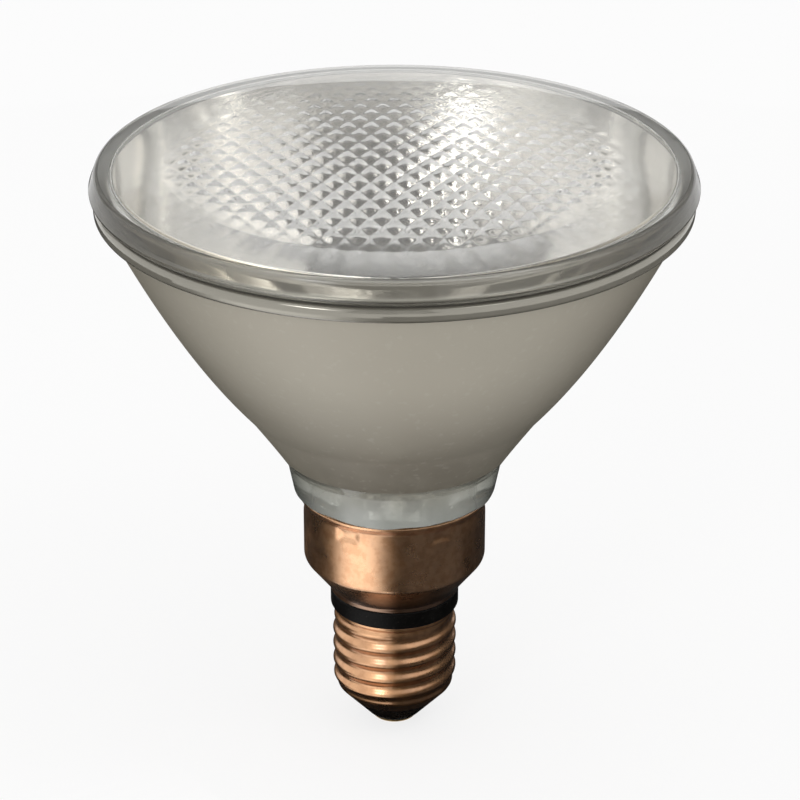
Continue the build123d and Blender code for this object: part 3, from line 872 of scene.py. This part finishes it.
def threadTree():
    tree, given, out = newTree("rolledThread", threadSizes)
    parts = placeParts(tree)
    radius = radiusOf(tree, parts)
    angle = calc(tree, "DIVIDE", calc(tree, "ARCTAN2", parts[1], parts[0]), 2 * math.pi)
    climb = wayAlong(tree, given["Foot"], parts[2], given["Pitch"])
    phase = calc(tree, "MULTIPLY", calc(tree, "SUBTRACT", climb, angle), 2 * math.pi)
    wave = calc(tree, "MULTIPLY_ADD", calc(tree, "COSINE", phase), 0.5, 0.5)
    start = wayAlong(tree, given["Foot"], parts[2], given["Fade"], clamp=True)
    finish = wayAlong(tree, parts[2], given["Top"], given["Fade"], clamp=True)
    fade = calc(tree, "SMOOTH_MIN", start, finish, given["Ease"])
    wall = calc(tree, "GREATER_THAN", radius, given["Outside From"])
    depth = calc(tree, "MULTIPLY", given["Depth"], wall)
    rise = calc(tree, "MULTIPLY", calc(tree, "MULTIPLY", wave, fade), depth)
    endTree(tree, out, pushOut(tree, given["Geometry"], parts, radius, rise), shellCopper)
    return tree


def makeShell():
    s, r = Sizes(**shellSizes), Sizes(**shellRoundings)
    w = s.wall
    beadMiddle = (s.beadFoot + s.beadTop) / 2
    line = roundCorners([
        (s.lip - w, s.foot, r.lipIn), (s.lip, s.foot, r.lip), (s.root, s.threadFoot, r.foot),
        (s.root, s.beadFoot, r.bead), (s.bead, beadMiddle, r.bead), (s.bead, s.beadTop, r.beadTop),
        (s.tail, s.beadTop, 0), (s.tail, s.skirtFloor, 0), (s.curl, s.skirtFloor, r.curl),
        (s.curl, s.skirtFloor + w, r.curlTop), (s.tail - w, s.skirtFloor + w, r.tail),
        (s.tail - w, s.beadFoot, 0), (s.root - w, s.beadFoot - w, 0),
        (s.root - w, s.threadFoot, r.footIn)])
    mesh = spinMesh("screwShell", divideLine(line, s.step), s.segments)
    piece = newPiece("screwShell", closeMesh(mesh, sharpAngle=s.sharpAngle))
    shapeWith(piece, threadTree(), threadSizes)
    return settle(piece, "copper_shell", "screw_shell")


shellPiece = makeShell()
print("screw shell done,", len(shellPiece.data.polygons), "faces")


# black ring, black glass cone and brass contact
footSizes = {
    "ringInner": 12.05, "ringOuter": 13.5, "ringFoot": 27.6, "ringTop": 31.5, "eyelet": 2.1, "bore": 1.3,
    "eyeletTop": 7.8, "tip": 5.6, "tipFoot": 1.2, "coneTop": 5.6, "coneRadius": 9.6, "plugInner": 9.15,
    "plugRadius": 11.8, "plugFoot": 8.5, "plugTop": 11.9, "contact": 4.8, "coneStep": 0.6,
    "segments": 144, "blobBevel": 0.1,
}
footRoundings = {
    "ring": 0.5, "ringIn": 0.1, "tip": 0.5, "plug": 0.4, "plugIn": 0.2, "button": 0.55, "buttonTop": 0.3,
    "eyelet": 0.1,
}


def makeFoot():
    s, r = Sizes(**footSizes), Sizes(**footRoundings)
    ring = roundCorners([
        (s.ringInner, s.ringFoot, r.ringIn), (s.ringOuter, s.ringFoot, r.ring),
        (s.ringOuter, s.ringTop, r.ring), (s.ringInner, s.ringTop, r.ringIn)])
    cone = roundCorners([
        (s.eyelet, s.tipFoot, 0), (s.tip, s.tipFoot, r.tip), (s.coneRadius, s.coneTop, 0),
        (s.plugInner, s.coneTop, 0), (s.plugRadius, s.plugFoot, 0),
        (s.plugRadius, s.plugTop, r.plug), (s.eyelet, s.plugTop, r.plugIn)])
    button = roundCorners([
        (s.bore, 0, 0), (s.contact, 0, r.button), (s.contact, s.tipFoot, r.buttonTop),
        (s.eyelet, s.tipFoot, 0), (s.eyelet, s.eyeletTop, r.eyelet),
        (s.bore, s.eyeletTop, r.eyelet)])
    around = s.segments
    spunPiece("insulatingRing", ring, around, blackRing, "black_ring", "insulating_ring")
    cone = divideLine(cone, s.coneStep)
    spunPiece("baseInsulator", cone, around, blackGlass, "black_glass", "base_insulator")
    spunPiece("centreContact", button, around, contactBrass, "contact_brass", "centre_contact")
    copyOfNode("contact_solder", "contactSolder", softSolder, "solder", bevel=s.blobBevel)


makeFoot()
print("foot of the base done")


# halogen capsule with its filament, foils, pins and ferrules
coilSizes = {
    "Coil Radius": 0.82 * mm, "Wire Radius": 0.13 * mm, "Wire Sides": 8, "Height": 12.0 * mm,
    "Turns": 27.0, "Foot": 68.59 * mm, "Steps": 22,
}
legSizes = {
    "spread": 3.6, "foot": 61.8, "coilFoot": 68.79, "low": 66.99, "lowDrop": 1.5, "coilTop": 80.39,
    "loop": 82.99, "loopDrop": 2.0, "start": 0.6, "radius": 0.25, "sides": 3, "order": 3, "steps": 6,
}
capsuleEdges = {"pin": 0.1, "ferrule": 0.12, "solder": 0.15, "capsuleSharp": 38, "wireSharp": 50}


def coilTree():
    tree, given, out = newTree("filamentCoil", coilSizes)
    spiral = addNode(tree, "GeometryNodeCurveSpiral", {
        "Resolution": given["Steps"], "Rotations": given["Turns"], "Start Radius": given["Coil Radius"],
        "End Radius": given["Coil Radius"], "Height": given["Height"]}).outputs[0]
    section = addNode(tree, "GeometryNodeCurvePrimitiveCircle", {
        "Resolution": given["Wire Sides"], "Radius": given["Wire Radius"]}).outputs[0]
    coil = addNode(tree, "GeometryNodeCurveToMesh", {
        "Curve": spiral, "Profile Curve": section, "Fill Caps": True}).outputs[0]
    lift = vectorOf(tree, {2: given["Foot"]})
    raised = addNode(tree, "GeometryNodeTransform", {"Geometry": coil, "Translation": lift}).outputs[0]
    smooth = addNode(tree, "GeometryNodeSetShadeSmooth", {"Geometry": raised}).outputs[0]
    both = tree.nodes.new("GeometryNodeJoinGeometry")
    tree.links.new(smooth, both.inputs[0])
    tree.links.new(given["Geometry"], both.inputs[0])
    endTree(tree, out, both.outputs[0], tungstenWire)
    return tree


def makeLegs():
    s = Sizes(**legSizes)
    curve = bpy.data.curves.new("filamentLegs", "CURVE")
    curve.dimensions = "3D"
    curve.bevel_depth, curve.bevel_resolution, curve.use_fill_caps = s.radius * mm, s.sides, True
    for x, coilEnd, level, drop in ((-s.spread, s.coilFoot, s.low, s.lowDrop),
                                    (s.spread, s.coilTop, s.loop, s.loopDrop)):
        run = ((s.start, coilEnd), (0.0, level), (x, level), (x, level - drop), (x, s.foot))
        spline = curve.splines.new("NURBS")
        spline.points.add(len(run) - 1)
        for point, (across, height) in zip(spline.points, run):
            point.co = (across * mm, 0, height * mm, 1)
        spline.order_u, spline.use_endpoint_u, spline.resolution_u = s.order, True, s.steps
    legs = newPiece("filamentLegs", curve)
    mesh = evaluatedMesh(legs)
    bpy.data.objects.remove(legs)
    mesh.shade_smooth()
    return mesh


def makeCapsule():
    s = Sizes(**capsuleEdges)
    copyOfNode("capsule", "quartzCapsule", quartzTube, "quartz", sharpAngle=s.capsuleSharp)
    filament = newPiece("filamentCoil", makeLegs())
    shapeWith(filament, coilTree(), coilSizes)
    settle(filament, "tungsten", "filament")
    for side in ("a", "b"):
        copyOfNode(f"foil_{side}", f"foil.{side}", molyFoil, "foil")
        copyOfNode(f"lead_pin_{side}", f"leadPin.{side}", nickelMetal, "nickel", bevel=s.pin)
        copyOfNode(f"ferrule_{side}", f"ferrule.{side}", nickelMetal, "nickel", bevel=s.ferrule)
    copyOfNode("shell_solder", "shellSolder", softSolder, "solder", bevel=s.solder)
    copyOfNode("centre_wire", "centreWire", copperWire, "copper_wire", sharpAngle=s.wireSharp)
    copyOfNode("shell_wire", "shellWire", copperWire, "copper_wire", sharpAngle=s.wireSharp)


makeCapsule()
print("capsule and wires done")


# studio: pale floor, white surround, soft boxes and cards beside the view, in metres
studio = {
    "floorRadius": 6.0, "floorCells": 24, "floorDrop": 0.02, "floorColour": (0.96, 0.96, 0.96, 1),
    "floorRough": 0.9, "floorLight": 0.78, "surround": 1.0, "fill": 0.86, "aim": (0, 0, 0.11),
    "boxFade": (0.05, 0.5), "cardLift": 0.0002, "cardSteps": 8, "cardStep": 4, "wallDistance": 1.4,
}
softBoxes = {  # place, width, height, power
    "keyBox": ((-0.608, -0.992, 0.69), 0.54, 0.38, 5.4),
    "sideBox": ((0.62, -0.39, 1.19), 1.0, 0.5, 4.2),
}
glowCard = {
    "start": -84, "end": -4, "inner": 0.050, "outer": 0.32, "middle": -42, "core": 9.5, "width": 38,
    "power": 1.65, "least": 0.1,
}
tableCards = {  # start and end in degrees from the camera towards its right, inner and outer radius, shade
    "underCard": (0, 360, 0.0049, 0.026, 0.02),
    "seamCard": (-4, 14, 0.026, 0.4, 0.03),
    "rightCard": (14, 86, 0.026, 0.4, 0.10),
    "farCard": (86, 276, 0.026, 0.4, 0.03),
}
fenceCard = {
    "start": -6, "end": 130, "distance": 0.125, "foot": 0.0003, "top": 0.075, "steps": 24, "shade": 0.08,
}
wallCards = {  # start, end, lowest and highest angle seen from the lens, shade, rays that pass it by
    "highScreen": (-75, 42, 33, 78, 0.05, "glossy"),
    "lowScreen": (-17, 40, 4, 33, 0.04, "glossy"),
    "backCard": (130, 230, 6, 60, 0.5, "transmission"),
    "frontCard": (-17, 15, 2, 70, 0.55, "transmission"),
}
view = {
    "tilt": 26, "target": (0, 0, 0.065), "distance": 0.650, "sensor": 36.0, "lens": 141.4,
    "shift": (0.0069, 0.0506), "near": 0.01,
}


def seenRays(tree):
    rays = tree.nodes.new("ShaderNodeLightPath").outputs
    bent = calc(tree, "MAXIMUM", rays["Is Glossy Ray"], rays["Is Transmission Ray"])
    return calc(tree, "MAXIMUM", rays["Is Camera Ray"], bent)


def makeFloor():
    s = Sizes(**studio)
    mesh = discMesh("paleFloor", s.floorRadius / mm, s.floorCells, lambda r: -s.floorDrop)
    sockets = {"Base Color": s.floorColour, "Roughness": s.floorRough}
    material, tree, shader = newMaterial("paleFloor", sockets)
    light = addNode(tree, "ShaderNodeEmission", {"Color": (1, 1, 1, 1), "Strength": 1.0})
    share = calc(tree, "MULTIPLY", seenRays(tree), s.floorLight)
    mix = addNode(tree, "ShaderNodeMixShader", {0: share, 1: shader.outputs[0], 2: light.outputs[0]})
    tree.links.new(mix.outputs[0], tree.nodes["Material Output"].inputs["Surface"])
    newPiece("paleFloor", mesh, material)


def makeWorld():
    world = bpy.data.worlds.new("surround")
    scene.world = world
    world.use_nodes = True
    tree = world.node_tree
    extra = studio["surround"] - studio["fill"]
    strength = calc(tree, "MULTIPLY_ADD", seenRays(tree), extra, studio["fill"])
    back = tree.nodes["Background"]
    back.inputs["Color"].default_value = (1, 1, 1, 1)
    tree.links.new(strength, back.inputs["Strength"])


def makeBox(name, place, width, height, power):
    light = bpy.data.lights.new(name, "AREA")
    light.shape, light.size, light.size_y, light.energy = "RECTANGLE", width, height, power
    light.use_nodes = True
    tree = light.node_tree
    cloth = addNode(tree, "ShaderNodeNewGeometry").outputs["Parametric"]
    spot = partsOf(tree, cloth)
    fades = []
    for side in (0, 1):  # the cloth is brightest in the middle
        away = calc(tree, "ABSOLUTE", calc(tree, "SUBTRACT", spot[side], 0.5))
        fades.append(ramp(tree, away, *studio["boxFade"], 1.0, 0.0))
    tree.links.new(calc(tree, "MULTIPLY", *fades), tree.nodes["Emission"].inputs["Strength"])
    box = bpy.data.objects.new(name, light)
    scene.collection.objects.link(box)
    box.location = place
    box.rotation_euler = (Vector(studio["aim"]) - Vector(place)).to_track_quat("-Z", "Y").to_euler()


def stripMesh(name, start, end, steps, pairAt):
    verts = []  # a bent strip, given by the two points of each of its steps
    for k in range(steps + 1):
        a = math.radians(start + (end - start) * k / steps - 90)  # 0 is towards the camera
        verts += pairAt(math.cos(a), math.sin(a))
    faces = [(2 * k, 2 * k + 1, 2 * k + 3, 2 * k + 2) for k in range(steps)]
    mesh = bpy.data.meshes.new(name)
    mesh.from_pydata(verts, [], faces)
    return mesh


def arcMesh(name, start, end, inner, outer):
    steps = max(studio["cardSteps"], int(abs(end - start) / studio["cardStep"]))
    return stripMesh(name, start, end, steps,  # part of a ring lying on the table
                     lambda x, y: [(r * x, r * y, studio["cardLift"]) for r in (inner, outer)])


def fenceMesh(name):
    s = Sizes(**fenceCard)  # a low screen standing on the table round the base
    r = s.distance
    return stripMesh(name, s.start, s.end, s.steps,
                     lambda x, y: [(r * x, r * y, z) for z in (s.foot, s.top)])


def wallMesh(name, start, end, low, high):
    far = studio["wallDistance"]  # a wide screen, given by the angles under which the lens sees it
    rows = []
    for tilt in (low, high):
        rise = math.radians(tilt)
        rows.append((far * math.cos(rise), studio["aim"][2] + far * math.sin(rise)))
    return stripMesh(name, start, end, studio["cardSteps"],
                     lambda x, y: [(r * x, r * y, z) for r, z in rows])


def stageCard(name, mesh, material, *hidden):
    card = newPiece(name, mesh, material)
    for ray in ("camera", "diffuse", "shadow", *hidden):
        setattr(card, "visible_" + ray, False)


def makeCard(name, mesh, shade, hidden):
    sockets = {"Base Color": (shade, shade, shade, 1), "Roughness": 1.0, "Specular IOR Level": 0.0}
    stageCard(name, mesh, newMaterial(name, sockets)[0], hidden)


def makeGlow(name):
    s = Sizes(**glowCard)
    material, tree, shader = newMaterial(name, {})
    tree.nodes.remove(shader)
    parts = partsOf(tree, objectPlace(tree))
    angle = calc(tree, "ARCTAN2", parts[0], calc(tree, "MULTIPLY", parts[1], -1.0))
    away = calc(tree, "ABSOLUTE", calc(tree, "SUBTRACT", angle, math.radians(s.middle)))
    power = ramp(tree, away, math.radians(s.core), math.radians(s.width), s.power, s.least)
    light = addNode(tree, "ShaderNodeEmission", {"Strength": power})
    tree.links.new(light.outputs[0], tree.nodes["Material Output"].inputs["Surface"])
    mesh = arcMesh(name, s.start, s.end, s.inner, s.outer)
    stageCard(name, mesh, material, "transmission")


def makeCamera():
    camera = bpy.data.objects.new("photoCamera", bpy.data.cameras.new("photoCamera"))
    scene.collection.objects.link(camera)
    tilt = math.radians(view["tilt"])
    way = Vector((0, -math.cos(tilt), math.sin(tilt)))
    camera.location = Vector(view["target"]) + way * view["distance"]
    camera.rotation_euler = (math.radians(90) - tilt, 0, 0)
    camera.data.sensor_width, camera.data.lens = view["sensor"], view["lens"]
    camera.data.shift_x, camera.data.shift_y = view["shift"]
    camera.data.clip_start = view["near"]
    scene.camera = camera


makeFloor()
makeWorld()
for name, box in softBoxes.items():
    makeBox(name, *box)
makeGlow("tableGlow")
for name, (*arc, shade) in tableCards.items():
    makeCard(name, arcMesh(name, *arc), shade, "transmission")
makeCard("tableFence", fenceMesh("tableFence"), fenceCard["shade"], "transmission")
for name, (*wall, shade, hidden) in wallCards.items():
    makeCard(name, wallMesh(name, *wall), shade, hidden)
makeCamera()
print("studio ready")
